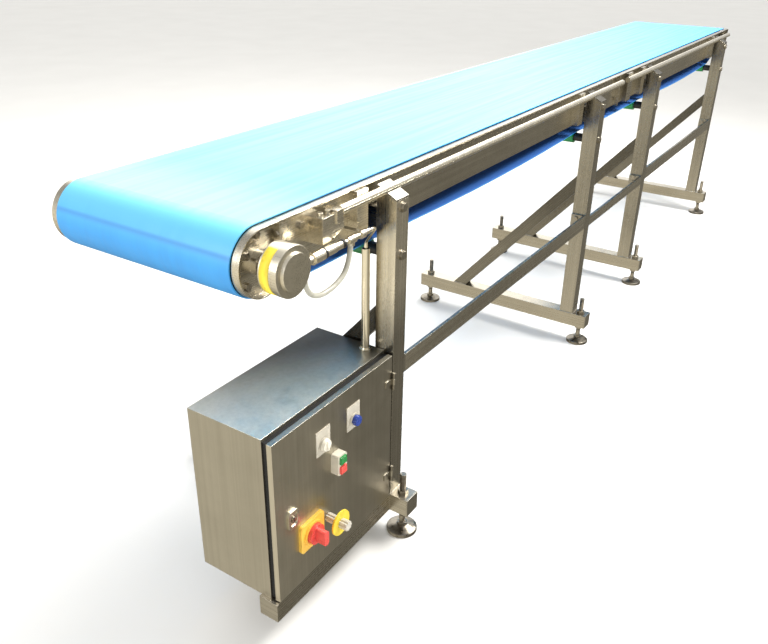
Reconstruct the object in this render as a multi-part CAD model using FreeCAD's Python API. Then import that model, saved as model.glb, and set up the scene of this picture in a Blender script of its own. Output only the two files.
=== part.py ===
import FreeCAD, Part
import math
import os

V = FreeCAD.Vector

# Belt conveyor section on four one-sided stands. Millimetres, +Z up.
# Belt travel runs along X, with the drive end at -X. The stands' legs are on the -Y side.
# Positions below are measured from leg 1's outer drive-end corner on the floor. export()
# moves everything by ORIGIN, so that the finished part's origin is the middle of its footprint.

# ---- driving dimensions ----
TUBE = 50.0                                   # square section of every stand tube
WALL = 3.0                                    # tube and sheet wall
LEG_X = [0.0, 1270.0, 1940.0, 3110.0]         # drive-end face of each leg
BELT_TOP = 944.0                              # carrying surface above the floor
BELT_Y = (74.0, 550.0)                        # belt edges
BELT_T = 3.0
RUN_GAP = 0.3                                 # clearance of the belt over turning surfaces
DRUM_R = 69.0
NOSE_X = -435.0                               # belt's drive-end extreme
TAIL_R = 34.0
TAIL_END_X = 3420.0                           # belt's tail-end extreme
BEAM_Z = (68.0, 118.0)                        # base beams, bottom and top
BEAM_Y = (-50.0, 660.0)
FOOT_Y = (-24.0, 630.0)
RAIL_Y, RAIL_Z, RAIL_R = 33.0, 920.0, 10.0
ROLLER_R, ROLLER_Z = 21.0, 772.0              # return rollers
STRETCHER_Z = [(458.0, 507.0), (455.0, 491.0), (466.0, 516.0)]
WEB_Y = (69.0, 72.0)                          # recessed web of the near side plate
FLANGE_Y = 54.0                               # outer edge of its flanges
PLATE_Z = (828.0, 940.0)
SEAM_X = -312.5                               # nose plate meets side plate
JOINT_X = 1625.0                              # first module meets the second
TAIL_SEAM_X = 3291.5                          # side plate meets tail plate
BOX_X = (-437.0, -2.0)                        # control box
BOX_Y = (23.0, 221.0)
BOX_Z = (118.0, 537.0)
DOOR_Y = -2.0                                 # door's outer face
DOOR_Z = (121.0, 531.0)
ORIGIN = V((-445.0 + TAIL_END_X) / 2, (FOOT_Y[0] + FOOT_Y[1]) / 2, 0)

# ---- worked out from them ----
BELT_OUT = DRUM_R + RUN_GAP + BELT_T
DRUM_X, DRUM_Z = NOSE_X + BELT_OUT, BELT_TOP - BELT_OUT
TAIL_OUT = TAIL_R + RUN_GAP + BELT_T
TAIL_X, TAIL_Z = TAIL_END_X - TAIL_OUT, BELT_TOP - TAIL_OUT
MID_Y = (BELT_Y[0] + BELT_Y[1]) / 2
HALF = TUBE / 2
ROLLER_X = [x + HALF for x in LEG_X]

os.makedirs("parts", exist_ok=True)
exported = []


# ---- helpers ----
def box(x0, y0, z0, x1, y1, z1):
    return Part.makeBox(x1 - x0, y1 - y0, z1 - z0, V(x0, y0, z0))


def cyl(x, y, z, r, length, axis):
    return Part.makeCylinder(r, length, V(x, y, z), axis)


def rod_y(x, z, r, y0, y1):
    return cyl(x, y0, z, r, y1 - y0, V(0, 1, 0))


def rod_z(x, y, r, z0, z1):
    return cyl(x, y, z0, r, z1 - z0, V(0, 0, 1))


def rod_x(y, z, r, x0, x1):
    return cyl(x0, y, z, r, x1 - x0, V(1, 0, 0))


def fuse(shapes):
    result = shapes[0]
    for shape in shapes[1:]:
        result = result.fuse(shape)
    return result.removeSplitter()


def cut(shape, tools):
    for tool in tools:
        shape = shape.cut(tool)
    return shape


def hexagon(start, across, length, axis):
    """Hexagonal bar from its start point along X, Y or Z."""
    first = V(0, 1, 0) if axis.x else V(1, 0, 0)
    second = axis.cross(first)
    radius = across / math.sqrt(3)
    corners = []
    for k in range(7):
        turn = math.radians(60 * k)
        corners.append(start + first * (radius * math.cos(turn)) + second * (radius * math.sin(turn)))
    return Part.Face(Part.makePolygon(corners)).extrude(axis * length)


def hexagon_z(x, y, across, z0, z1):
    return hexagon(V(x, y, z0), across, z1 - z0, V(0, 0, 1))


def hexagon_x(y, z, across, x0, x1):
    return hexagon(V(x0, y, z), across, x1 - x0, V(1, 0, 0))


def prism_xz(points, y0, y1):
    """Solid with the outline of (x, z) points, between two y planes."""
    corners = [V(x, y0, z) for x, z in points]
    corners.append(corners[0])
    return Part.Face(Part.makePolygon(corners)).extrude(V(0, y1 - y0, 0))


def prism_yz(points, x0, x1):
    """Solid with the outline of (y, z) points, between two x planes."""
    corners = [V(x0, y, z) for y, z in points]
    corners.append(corners[0])
    return Part.Face(Part.makePolygon(corners)).extrude(V(x1 - x0, 0, 0))


def mirror_y(shape):
    """The same piece on the far side of the belt."""
    return shape.mirror(V(0, MID_Y, 0), V(0, 1, 0))


def ring_y(x, z, r_out, r_in, y0, y1):
    return rod_y(x, z, r_out, y0, y1).cut(rod_y(x, z, r_in, y0 - 1, y1 + 1))


def export(name, solids):
    shape = (solids[0] if len(solids) == 1 else Part.makeCompound(solids)).copy()
    shape.translate(V(-ORIGIN.x, -ORIGIN.y, -ORIGIN.z))
    shape.exportStep("parts/" + name + ".step")
    exported.append(name)


# ---- stands ----
LEG_TOP_OUT, LEG_TOP_IN = 904.0, 931.0        # slanted leg top, outer and inner side
CAP_T = 3.0
RAIL_BOLT_Z = 883.0
ARM_Z = (831.0, 881.0)


def leg_profile(x0, x1, y0, y1, drop):
    """Square bar whose top slants down to the outer side."""
    slope = (LEG_TOP_IN - LEG_TOP_OUT) / TUBE
    top0 = LEG_TOP_OUT + slope * y0 - drop
    top1 = LEG_TOP_OUT + slope * y1 - drop
    return prism_yz([(y0, BEAM_Z[1]), (y1, BEAM_Z[1]), (y1, top1), (y0, top0)], x0, x1)


def make_leg(x):
    outer = leg_profile(x, x + TUBE, 0, TUBE, CAP_T)
    inner = leg_profile(x + WALL, x + TUBE - WALL, WALL, TUBE - WALL, 0)
    bolt_holes = [rod_y(x + HALF, z, 6.2, -1, TUBE + 1) for z in (ROLLER_Z, RAIL_BOLT_Z)]
    return cut(outer.cut(inner), bolt_holes + [rod_x(RAIL_Y, RAIL_Z, RAIL_R, x - 1, x + TUBE + 1)])


def make_leg_cap(x):
    slab = leg_profile(x, x + TUBE, 0, TUBE, 0).cut(leg_profile(x, x + TUBE, 0, TUBE, CAP_T))
    return slab.cut(rod_x(RAIL_Y, RAIL_Z, RAIL_R, x - 1, x + TUBE + 1))


def make_base_beam(x):
    outer = box(x, BEAM_Y[0], BEAM_Z[0], x + TUBE, BEAM_Y[1], BEAM_Z[1])
    inner = box(x + WALL, BEAM_Y[0] - 1, BEAM_Z[0] + WALL, x + TUBE - WALL, BEAM_Y[1] + 1, BEAM_Z[1] - WALL)
    holes = [rod_z(x + HALF, y, 8.5, BEAM_Z[0] - 1, BEAM_Z[1] + 1) for y in FOOT_Y]
    return cut(outer.cut(inner), holes)


BRACE = 40.0                                  # square section of the diagonal braces
BRACE_TOP_Z = 645.0                           # upper edge of the brace on the leg
BRACE_FOOT_Y = 511.0                          # its upper edge on the base beam
BRACE_RISE = BRACE_TOP_Z - BEAM_Z[1]
BRACE_RUN = BRACE_FOOT_Y - TUBE
BRACE_LENGTH = math.hypot(BRACE_RISE, BRACE_RUN)


def brace_bar(inset, overrun, x0, x1):
    """Diagonal bar in the YZ plane between leg and base beam, its section inset on both edges."""
    per_z = BRACE_LENGTH / BRACE_RUN
    per_y = BRACE_LENGTH / BRACE_RISE
    slope = BRACE_RISE / BRACE_RUN
    leg_y = TUBE - overrun
    beam_z = BEAM_Z[1] - overrun * slope
    upper_z = BRACE_TOP_Z + overrun * slope - inset * per_z
    lower_z = BRACE_TOP_Z + overrun * slope - (BRACE - inset) * per_z
    upper_y = BRACE_FOOT_Y + overrun - inset * per_y
    lower_y = BRACE_FOOT_Y + overrun - (BRACE - inset) * per_y
    return prism_yz([(leg_y, upper_z), (upper_y, beam_z), (lower_y, beam_z), (leg_y, lower_z)], x0, x1)


def make_brace(x):
    side = (TUBE - BRACE) / 2
    outer = brace_bar(0, 0, x + side, x + TUBE - side)
    return outer.cut(brace_bar(WALL, 1, x + side + WALL, x + TUBE - side - WALL))


STRETCHER_T = 8.0                             # flat bars on edge between the legs
END_PLATE_T = 8.0                             # plates that bolt them to the legs
BOX_BEAM_X = (-442.0, 0.0)


def make_box_beam():
    outer = box(BOX_BEAM_X[0], 0, BEAM_Z[0], BOX_BEAM_X[1], TUBE, BEAM_Z[1])
    inner = box(BOX_BEAM_X[0] - 1, WALL, BEAM_Z[0] + WALL, BOX_BEAM_X[1] + 1, TUBE - WALL, BEAM_Z[1] - WALL)
    return outer.cut(inner)


def export_stands():
    for number, x in enumerate(LEG_X, 1):
        export("leg_%d" % number, [make_leg(x)])
    export("base_beams", [make_base_beam(x) for x in LEG_X] + [make_box_beam()])
    export("braces", [make_brace(x) for x in LEG_X])
    stretchers = []
    plates = []
    for left, right, (z0, z1) in zip(LEG_X[:-1], LEG_X[1:], STRETCHER_Z):
        x0, x1 = left + TUBE + END_PLATE_T, right - END_PLATE_T
        stretchers.append(box(x0, 0, z0, x1, STRETCHER_T, z1))
        plates.append(box(left + TUBE, 0, z0, x0, TUBE, z1))
        plates.append(box(x1, 0, z0, right, TUBE, z1))
    export("stretchers", stretchers)
    plates += [make_leg_cap(x) for x in LEG_X]
    for x in LEG_X:
        plates.append(box(x, BEAM_Y[0] - CAP_T, BEAM_Z[0], x + TUBE, BEAM_Y[0], BEAM_Z[1]))
        plates.append(box(x, BEAM_Y[1], BEAM_Z[0], x + TUBE, BEAM_Y[1] + CAP_T, BEAM_Z[1]))
    plates.append(box(BOX_BEAM_X[0] - CAP_T, 0, BEAM_Z[0], BOX_BEAM_X[0], TUBE, BEAM_Z[1]))
    export("tube_end_plates", plates)


# ---- levelling feet ----
FOOT_R = 40.0
SOLE_H = 10.0
STUD_R = 8.0
STUD_TOP = 178.0
NUT_ACROSS = 24.0
NUT_H = 12.0


def make_foot(x, y):
    sole = rod_z(x, y, FOOT_R, 0, SOLE_H)
    sole = sole.makeFillet(3.0, [e for e in sole.Edges if e.CenterOfMass.z > SOLE_H - 0.1])
    dome = Part.makeCone(FOOT_R - 4, 15, 16 - SOLE_H, V(x, y, SOLE_H))
    collar = rod_z(x, y, 13, 16, 26)
    stud = rod_z(x, y, STUD_R, 20, STUD_TOP)
    return fuse([sole, dome, collar, stud])


def make_nut(x, y, z):
    return hexagon_z(x, y, NUT_ACROSS, z, z + NUT_H).cut(rod_z(x, y, STUD_R + 0.35, z - 1, z + NUT_H + 1))


def export_feet():
    nuts = []
    for side, y in zip(("near", "far"), FOOT_Y):
        for number, x in enumerate(LEG_X, 1):
            export("foot_%s_%d" % (side, number), [make_foot(x + HALF, y)])
            nuts.append(make_nut(x + HALF, y, BEAM_Z[0] - NUT_H))
            nuts.append(make_nut(x + HALF, y, BEAM_Z[1]))
    export("foot_nuts", nuts)


# ---- conveyor bed ----
SHEET = 3.0
NOTCH_X = (-42.0, 60.0)                       # notch in the side plate round each stand, from its leg
NOTCH_TOP = 884.0
NOTCH_R = 14.0
SEAM_GAP = 1.0                                # gap between plates that meet at a seam
SEAMS_X = (SEAM_X, JOINT_X, TAIL_SEAM_X)
TAIL_TIP_X = TAIL_END_X - 6.0
TAIL_CHAMFER_Z = 866.0
BED_Y = (80.0, 544.0)
BED_Z = (881.0, BELT_TOP - BELT_T - RUN_GAP)
BED_X = (-270.0, 3290.0)
ARM_END_Y = 2 * MID_Y - WEB_Y[1]
SEAM_BOLT_Y, SEAM_BOLT_R = 61.5, 4.0
SEAM_BOLT_Z = (852.0, 914.0)
TIE_R = 10.0
TIE_Z = 866.0
TIE_X = [-180.0, 640.0, 1610.0, 1640.0, 2520.0, 3240.0]


def seam_holes(seam_x):
    """Cutters for the bolts across a seam."""
    reach = SEAM_GAP / 2 + SHEET + 1
    return [rod_x(SEAM_BOLT_Y, z, SEAM_BOLT_R, seam_x - reach, seam_x + reach) for z in SEAM_BOLT_Z]


def notch(leg_x):
    """Cutter for the opening that a stand's arm passes through."""
    x0, x1 = leg_x + NOTCH_X[0], leg_x + NOTCH_X[1]
    below = box(x0, 0, PLATE_Z[0] - 5, x1, 100, NOTCH_TOP - NOTCH_R)
    above = box(x0 + NOTCH_R, 0, PLATE_Z[0], x1 - NOTCH_R, 100, NOTCH_TOP)
    corners = [rod_y(x, NOTCH_TOP - NOTCH_R, NOTCH_R, 0, 100) for x in (x0 + NOTCH_R, x1 - NOTCH_R)]
    return fuse([below, above] + corners)


def make_side_plate(seam_0, seam_1, legs):
    """Side plate between two seams: a web with top and end rims that stand outwards, notched at the legs."""
    x0, x1 = seam_0 + SEAM_GAP / 2, seam_1 - SEAM_GAP / 2
    outer = box(x0, FLANGE_Y, PLATE_Z[0], x1, WEB_Y[1], PLATE_Z[1])
    hollow = box(x0 + SHEET, FLANGE_Y - 1, PLATE_Z[0] - 1, x1 - SHEET, WEB_Y[0], PLATE_Z[1] - SHEET)
    return cut(outer, [hollow] + [notch(x) for x in legs] + seam_holes(seam_0) + seam_holes(seam_1))


NOSE_R = PLATE_Z[1] - DRUM_Z
NOSE_BOSS_R = 24.0
AXLE_R = 12.5


def nose_outline(r, x_end, y0, y1):
    """D shape round the drum axis, running on to the seam."""
    reach = x_end - DRUM_X
    low_z = DRUM_Z - math.sqrt(r * r - reach * reach)
    top = V(DRUM_X, y0, DRUM_Z + r)
    left = V(DRUM_X - r, y0, DRUM_Z)
    low = V(x_end, y0, low_z)
    corner = V(x_end, y0, DRUM_Z + r)
    edges = [Part.makeLine(corner, top), Part.Arc(top, left, low).toShape(), Part.makeLine(low, corner)]
    return Part.Face(Part.Wire(edges)).extrude(V(0, y1 - y0, 0))


def make_nose_plate():
    x1 = SEAM_X - SEAM_GAP / 2
    pan = nose_outline(NOSE_R, x1, FLANGE_Y, WEB_Y[1])
    hollow = nose_outline(NOSE_R - SHEET, x1 - SHEET, FLANGE_Y - 1, WEB_Y[0])
    boss = rod_y(DRUM_X, DRUM_Z, NOSE_BOSS_R, FLANGE_Y, WEB_Y[1])
    return cut(fuse([pan.cut(hollow), boss]), [rod_y(DRUM_X, DRUM_Z, AXLE_R, 0, 100)] + seam_holes(SEAM_X))


TAIL_AXLE_R = 8.0


def tail_outline(inset, y0, y1):
    x0, x1 = TAIL_SEAM_X + SEAM_GAP / 2 + inset, TAIL_TIP_X - inset
    z0, z1 = PLATE_Z[0] + inset, PLATE_Z[1] - inset
    points = [(x0, z0), (x1 - 55, z0), (x1, TAIL_CHAMFER_Z + inset / 2), (x1, z1), (x0, z1)]
    return prism_xz(points, y0, y1)


def make_tail_plate():
    pan = tail_outline(0, FLANGE_Y, WEB_Y[1]).cut(tail_outline(SHEET, FLANGE_Y - 1, WEB_Y[0]))
    return cut(pan, [rod_y(TAIL_X, TAIL_Z, TAIL_AXLE_R, 0, 100)] + seam_holes(TAIL_SEAM_X))


def make_bed(x0, x1):
    """Slider bed: an inverted channel under the carrying run."""
    outer = box(x0, BED_Y[0], BED_Z[0], x1, BED_Y[1], BED_Z[1])
    return outer.cut(box(x0 - 1, BED_Y[0] + SHEET, BED_Z[0] - 1, x1 + 1, BED_Y[1] - SHEET, BED_Z[1] - SHEET))


def make_arm(x):
    outer = box(x, TUBE, ARM_Z[0], x + TUBE, ARM_END_Y, ARM_Z[1])
    x0, x1 = x + WALL, x + TUBE - WALL
    return outer.cut(box(x0, TUBE - 1, ARM_Z[0] + WALL, x1, ARM_END_Y + 1, ARM_Z[1] - WALL))


def export_bed():
    for side, leg_sets in (("near", (LEG_X[:2], LEG_X[2:])), ("far", ([], []))):
        for number, legs in enumerate(leg_sets):
            plate = make_side_plate(SEAMS_X[number], SEAMS_X[number + 1], legs)
            if side == "far":
                plate = mirror_y(plate)
            export("side_plate_%s_%d" % (side, number + 1), [plate])
    nose = make_nose_plate()
    export("nose_plate_near", [nose])
    export("nose_plate_far", [mirror_y(nose)])
    tail = make_tail_plate()
    export("tail_plates", [tail, mirror_y(tail)])
    export("slider_beds", [make_bed(BED_X[0], JOINT_X - 1), make_bed(JOINT_X + 1, BED_X[1])])
    ties = [rod_y(x, TIE_Z, TIE_R, WEB_Y[1], ARM_END_Y) for x in TIE_X]
    export("cross_members", [make_arm(x) for x in LEG_X] + ties)


# ---- drums, belt and return rollers ----
DRUM_Y = (BELT_Y[0] + 2, BELT_Y[1] - 2)
RUNNING = 0.05                                # radial clearance of a running fit
NECK_Y = 28.0                                 # back of the junction box
ROLLER_Y = (86.0, 546.0)
ROLLER_SHAFT_R = 8.0
SPACER_R = 14.0
SAG_LONG, SAG_SHORT = 14.0, 4.0               # sag of the return run in long and short spans


def make_drum(x, z, r, wall, bore):
    """Drum shell with two end discs that run on the axle."""
    disc = 12.0
    y0, y1 = DRUM_Y
    hollow = rod_y(x, z, r - wall, y0 + disc, y1 - disc)
    return cut(rod_y(x, z, r, y0, y1), [hollow, rod_y(x, z, bore + RUNNING, y0 - 1, y1 + 1)])


def return_points(offset):
    """Stations of the return run from tail to drive end: rollers with the sag between them."""
    rest_z = ROLLER_Z + ROLLER_R + RUN_GAP + offset
    stations = []
    for right, left in zip(ROLLER_X[::-1], ROLLER_X[-2::-1]):
        sag = SAG_LONG if right - left > 900 else SAG_SHORT
        stations.append((V(right, 0, rest_z), V((right + left) / 2, 0, rest_z - sag), V(left, 0, rest_z)))
    return stations


def belt_loop(offset):
    """Closed face of the belt's side view, offset inwards from the outer surface."""
    drum_r, tail_r = BELT_OUT - offset, TAIL_OUT - offset
    rest_z = ROLLER_Z + ROLLER_R + RUN_GAP + offset
    drum_top, drum_low = V(DRUM_X, 0, DRUM_Z + drum_r), V(DRUM_X, 0, DRUM_Z - drum_r)
    tail_top, tail_low = V(TAIL_X, 0, TAIL_Z + tail_r), V(TAIL_X, 0, TAIL_Z - tail_r)
    first, last = V(ROLLER_X[-1], 0, rest_z), V(ROLLER_X[0], 0, rest_z)
    middle = (last + drum_low) * 0.5 - V(0, 0, SAG_SHORT)
    edges = [Part.makeLine(drum_top, tail_top)]
    edges.append(Part.Arc(tail_top, V(TAIL_X + tail_r, 0, TAIL_Z), tail_low).toShape())
    edges.append(Part.makeLine(tail_low, first))
    edges += [Part.Arc(*points).toShape() for points in return_points(offset)]
    edges.append(Part.Arc(last, middle, drum_low).toShape())
    edges.append(Part.Arc(drum_low, V(DRUM_X - drum_r, 0, DRUM_Z), drum_top).toShape())
    face = Part.Face(Part.Wire(edges))
    face.translate(V(0, BELT_Y[0], 0))
    return face.extrude(V(0, BELT_Y[1] - BELT_Y[0], 0))


def make_roller_shaft(x):
    spacer = rod_y(x, ROLLER_Z, SPACER_R, TUBE, ROLLER_Y[0] - 0.5)
    shaft = rod_y(x, ROLLER_Z, ROLLER_SHAFT_R, TUBE, ROLLER_Y[1] + 8)
    return fuse([spacer, shaft])


def make_return_roller(x):
    body = rod_y(x, ROLLER_Z, ROLLER_R, ROLLER_Y[0], ROLLER_Y[1])
    return body.cut(rod_y(x, ROLLER_Z, ROLLER_SHAFT_R + RUNNING, ROLLER_Y[0] - 1, ROLLER_Y[1] + 1))


def export_drive():
    export("belt", [belt_loop(0).cut(belt_loop(BELT_T))])
    export("drive_drum", [make_drum(DRUM_X, DRUM_Z, DRUM_R, 6.0, AXLE_R)])
    export("tail_drum", [make_drum(TAIL_X, TAIL_Z, TAIL_R, 4.0, TAIL_AXLE_R)])
    drive_axle = rod_y(DRUM_X, DRUM_Z, AXLE_R, NECK_Y, ARM_END_Y + WEB_Y[1] - FLANGE_Y)
    tail_axle = rod_y(TAIL_X, TAIL_Z, TAIL_AXLE_R, FLANGE_Y + 2, ARM_END_Y + WEB_Y[1] - FLANGE_Y - 2)
    export("drum_axles", [drive_axle, tail_axle])
    export("roller_shafts", [make_roller_shaft(x) for x in ROLLER_X])
    for number, x in enumerate(ROLLER_X, 1):
        export("return_roller_%d" % number, [make_return_roller(x)])


# ---- side rail and its brackets ----
RAIL_1_X = (-157.0, 1580.0)
RAIL_2_X = (1645.0, 3330.0)
GROOVE_W, GROOVE_DEEP = 2.4, 2.0
BRACKET_X = (-84.0, -44.0)                    # rail bracket before each stand, from its leg
BRACKET_Z = (834.0, 936.0)
PIPE_Y, PIPE_Z, PIPE_R = 13.0, 860.0, 6.0     # cable line beside the drive end
PIPE_X = (-172.0, -88.0)


def make_rail(x0, x1):
    rail = rod_x(RAIL_Y, RAIL_Z, RAIL_R, x0, x1)
    low, side = RAIL_Z + 1.0, RAIL_Y - RAIL_R
    return rail.cut(box(x0 - 1, side - 1, low, x1 + 1, side + GROOVE_DEEP, low + GROOVE_W))


def make_bracket(x0, x1):
    """Folded bracket that carries the rail in front of the side plate's web, open below."""
    y0, y1 = RAIL_Y + RAIL_R, WEB_Y[0]
    outer = box(x0, y0, BRACKET_Z[0], x1, y1, BRACKET_Z[1])
    return outer.cut(box(x0 + SHEET, y0 + SHEET, BRACKET_Z[0] - 1, x1 - SHEET, y1 + 1, BRACKET_Z[1] - SHEET))


def make_rail_end_block():
    """Block that holds the drive end of the rail, with two screw heads on top."""
    arm = box(-178, RAIL_Y - 8, 898, RAIL_1_X[0], WEB_Y[0], 926)
    outline = [(-221, 866), (-221, 920), (-172, 920), (-152, 906), (-152, 884), (-196, 866)]
    block = prism_xz(outline, 28, WEB_Y[0])
    heads = [rod_z(x, 42, 6, 918, 928) for x in (-211, -187)]
    return fuse([arm, block] + heads)


def make_pipe_clip():
    x0, x1 = -118.0, -104.0
    ring = rod_x(PIPE_Y, PIPE_Z, PIPE_R + 3, x0, x1)
    strap = box(x0, PIPE_Y, PIPE_Z + 3, x1, WEB_Y[0], PIPE_Z + 6)
    return ring.fuse(strap).cut(rod_x(PIPE_Y, PIPE_Z, PIPE_R, x0 - 1, x1 + 1))


def export_rails():
    export("side_rails", [make_rail(*RAIL_1_X), make_rail(*RAIL_2_X)])
    brackets = [make_bracket(x + BRACKET_X[0], x + BRACKET_X[1]) for x in LEG_X]
    brackets.append(make_bracket(JOINT_X + 60, JOINT_X + 110))
    brackets.append(make_rail_end_block())
    brackets.append(make_pipe_clip())
    export("rail_brackets", brackets)


# ---- control box ----
BOX_SHEET = 2.0
GASKET_T, GASKET_W = 11.5, 11.0
PANEL_X = (-415.0, -25.0)
DOOR_X = (-436.0, -7.0)
DOOR_BACK = 11.0
HINGE_X, HINGE_Y, HINGE_R = -5.0, -7.0, 4.0
WHITE_AT = (-275.0, 442.0)                    # (x, z) of each device on the door
BLUE_AT = (-165.0, 444.0)
PAIR_AT = (-233.0, 371.0)
ISOLATOR_AT = (-327.0, 241.0)
COLLAR_AT = (-264.0, 236.0)
LOCK_AT = (-383.0, 315.0)
CONDUIT_X, CONDUIT_Y, CONDUIT_R = -24.0, 62.0, 9.5
INLET_X, INLET_Y = -120.0, 150.0


def make_box_body():
    x0, x1 = BOX_X
    y0, y1 = BOX_Y
    z0, z1 = BOX_Z
    t = BOX_SHEET
    shell = box(x0, y0, z0, x1, y1, z1).cut(box(x0 + t, y0 - 1, z0 + t, x1 - t, y1 - t, z1 - t))
    lip = box(x0, y0, z0, x1, y0 + t, z1).cut(box(x0 + 16, y0 - 1, z0 + 16, x1 - 16, y0 + t + 1, z1 - 16))
    entries = [rod_z(CONDUIT_X, CONDUIT_Y, CONDUIT_R - 2, z1 - 5, z1 + 5), rod_z(INLET_X, INLET_Y, 10, z0 - 5, z0 + 5)]
    return cut(fuse([shell, lip]), entries)


def make_gasket():
    x0, x1 = BOX_X[0] + 4, BOX_X[1] - 4
    z0, z1 = BOX_Z[0] + 6, BOX_Z[1] - 8
    y0, y1 = BOX_Y[0] - GASKET_T, BOX_Y[0]
    inner = box(x0 + GASKET_W, y0 - 1, z0 + GASKET_W, x1 - GASKET_W, y1 + 1, z1 - GASKET_W)
    return box(x0, y0, z0, x1, y1, z1).cut(inner)


HINGE_Z = [(170.0, 215.0), (440.0, 485.0)]
KNUCKLE_H = 14.0                              # box-side knuckles at both ends of each hinge
PIN_R, PIN_BORE_R = 1.8, 2.1


def make_hinge(z0, z1):
    """Box side of a hinge: two knuckles, the pin and the leaf that carries them."""
    low, high = z0 + KNUCKLE_H, z1 - KNUCKLE_H
    knuckles = [rod_z(HINGE_X, HINGE_Y, HINGE_R, z0, low), rod_z(HINGE_X, HINGE_Y, HINGE_R, high, z1)]
    pin = rod_z(HINGE_X, HINGE_Y, PIN_R, z0, z1)
    leaf = box(HINGE_X - 1, HINGE_Y, z0, HINGE_X + 1, BOX_Y[0], z1)
    leaf = leaf.cut(box(HINGE_X - 2, HINGE_Y - 1, low, HINGE_X + 2, HINGE_Y + 6, high))
    ear = box(HINGE_X - 1, BOX_Y[0] - 2, z0, BOX_X[1], BOX_Y[0], z1)
    return fuse(knuckles + [pin, leaf, ear])


def make_door_knuckle(z0, z1):
    """Door side of a hinge: the middle knuckle with its tab on the door's outer face."""
    low, high = z0 + KNUCKLE_H + 0.4, z1 - KNUCKLE_H - 0.4
    tab = box(HINGE_X - 29, DOOR_Y - 2, low, HINGE_X, DOOR_Y, high)
    barrel = rod_z(HINGE_X, HINGE_Y, HINGE_R, low, high)
    return fuse([barrel, tab]).cut(rod_z(HINGE_X, HINGE_Y, PIN_BORE_R, low - 1, high + 1))


DOOR_HOLES = [(WHITE_AT, 11.0), (BLUE_AT, 11.0), (ISOLATOR_AT, 8.0), (COLLAR_AT, 9.0), (LOCK_AT, 8.0)]


def make_door():
    t = BOX_SHEET
    outer = box(DOOR_X[0], DOOR_Y, DOOR_Z[0], DOOR_X[1], DOOR_BACK, DOOR_Z[1])
    inner = box(DOOR_X[0] + t, DOOR_Y + t, DOOR_Z[0] + t, DOOR_X[1] - t, DOOR_BACK + 1, DOOR_Z[1] - t)
    holes = [rod_y(x, z, r, DOOR_Y - 1, DOOR_Y + t + 1) for (x, z), r in DOOR_HOLES]
    x, z = PAIR_AT
    pair_slot = box(x - 11, DOOR_Y - 1, z - 22.5, x + 11, DOOR_Y + t + 1, z + 22.5)
    tray = cut(outer.cut(inner), holes + [pair_slot])
    return fuse([tray] + [make_door_knuckle(z0, z1) for z0, z1 in HINGE_Z])


def make_panel():
    """Mounting plate inside the box, with the drive and the switchgear on it."""
    y1 = BOX_Y[1] - BOX_SHEET - 8
    plate = box(PANEL_X[0], y1 - 3, 145, PANEL_X[1], y1, 510)
    posts = []
    for x in (PANEL_X[0] + 15, PANEL_X[1] - 15):
        for z in (160, 495):
            posts.append(rod_y(x, z, 5, y1, BOX_Y[1] - BOX_SHEET))
    drive = box(-390, y1 - 123, 260, -300, y1 - 3, 450)
    rail = box(-280, y1 - 11, 360, -60, y1 - 3, 395)
    gear = [box(x, y1 - 71, 345, x + 42, y1 - 11, 410) for x in (-270, -215, -160)]
    terminals = box(-280, y1 - 46, 190, -80, y1 - 3, 235)
    return [plate] + posts + [drive, rail] + gear + [terminals]


# ---- operators on the door ----
LEGEND_W, LEGEND_H, LEGEND_T = 48.0, 62.0, 1.5
LEGEND_RISE = 7.0                             # middle of the plate above its operator
BEZEL_R, BUTTON_R = 15.0, 10.9
BEZEL_T = 4.0
BEZEL_Y = DOOR_Y - LEGEND_T - BEZEL_T         # front of the bezel


def make_legend(at):
    x, z = at
    y0 = DOOR_Y - LEGEND_T
    low = z + LEGEND_RISE - LEGEND_H / 2
    plate = box(x - LEGEND_W / 2, y0, low, x + LEGEND_W / 2, DOOR_Y, low + LEGEND_H)
    bezel = ring_y(x, z, BEZEL_R, 11.0, BEZEL_Y, y0)
    return plate.cut(rod_y(x, z, 11.0, y0 - 1, DOOR_Y + 1)).fuse(bezel).removeSplitter()


def make_white_knob():
    x, z = WHITE_AT
    back = BEZEL_Y - 0.5
    shank = rod_y(x, z, BUTTON_R, back, 8)
    head = Part.makeCone(14.5, 13.0, 7, V(x, back, z), V(0, -1, 0))
    grip = box(x - 2.5, back - 10, z - 11, x + 2.5, back - 7, z + 11)
    return fuse([shank, head, grip])


def make_blue_button():
    x, z = BLUE_AT
    back = BEZEL_Y - 5
    shank = rod_y(x, z, BUTTON_R, back, 10)
    cap = Part.makeCone(13.0, 11.5, 6, V(x, back, z), V(0, -1, 0))
    return fuse([shank, cap])


PAIR_W, PAIR_H, PAIR_T = 32.0, 52.0, 20.0
PUSH_W, PUSH_H = 20.0, 18.0
PUSH_GAP = 0.4
PUSH_OFFSET = 12.5                            # the two buttons, above and below the middle


def push_box(offset_z, grow, y0, y1):
    x, z = PAIR_AT
    half_w, half_h = PUSH_W / 2 + grow, PUSH_H / 2 + grow
    return box(x - half_w, y0, z + offset_z - half_h, x + half_w, y1, z + offset_z + half_h)


def make_pair_housing():
    x, z = PAIR_AT
    y0 = DOOR_Y - PAIR_T
    body = box(x - PAIR_W / 2, y0, z - PAIR_H / 2, x + PAIR_W / 2, DOOR_Y, z + PAIR_H / 2)
    rounded = body.makeFillet(6.0, [e for e in body.Edges if abs(e.tangentAt(e.FirstParameter).y) > 0.9])
    return cut(rounded, [push_box(s * PUSH_OFFSET, PUSH_GAP, y0 - 1, DOOR_Y + 1) for s in (-1, 1)])


def make_push(offset_z):
    proud = 5.0
    return push_box(offset_z, 0, DOOR_Y - PAIR_T - proud, DOOR_Y + 6)


ISOLATOR_W, ISOLATOR_H, ISOLATOR_T = 80.0, 72.0, 8.0
HANDLE_R = 24.0


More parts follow.
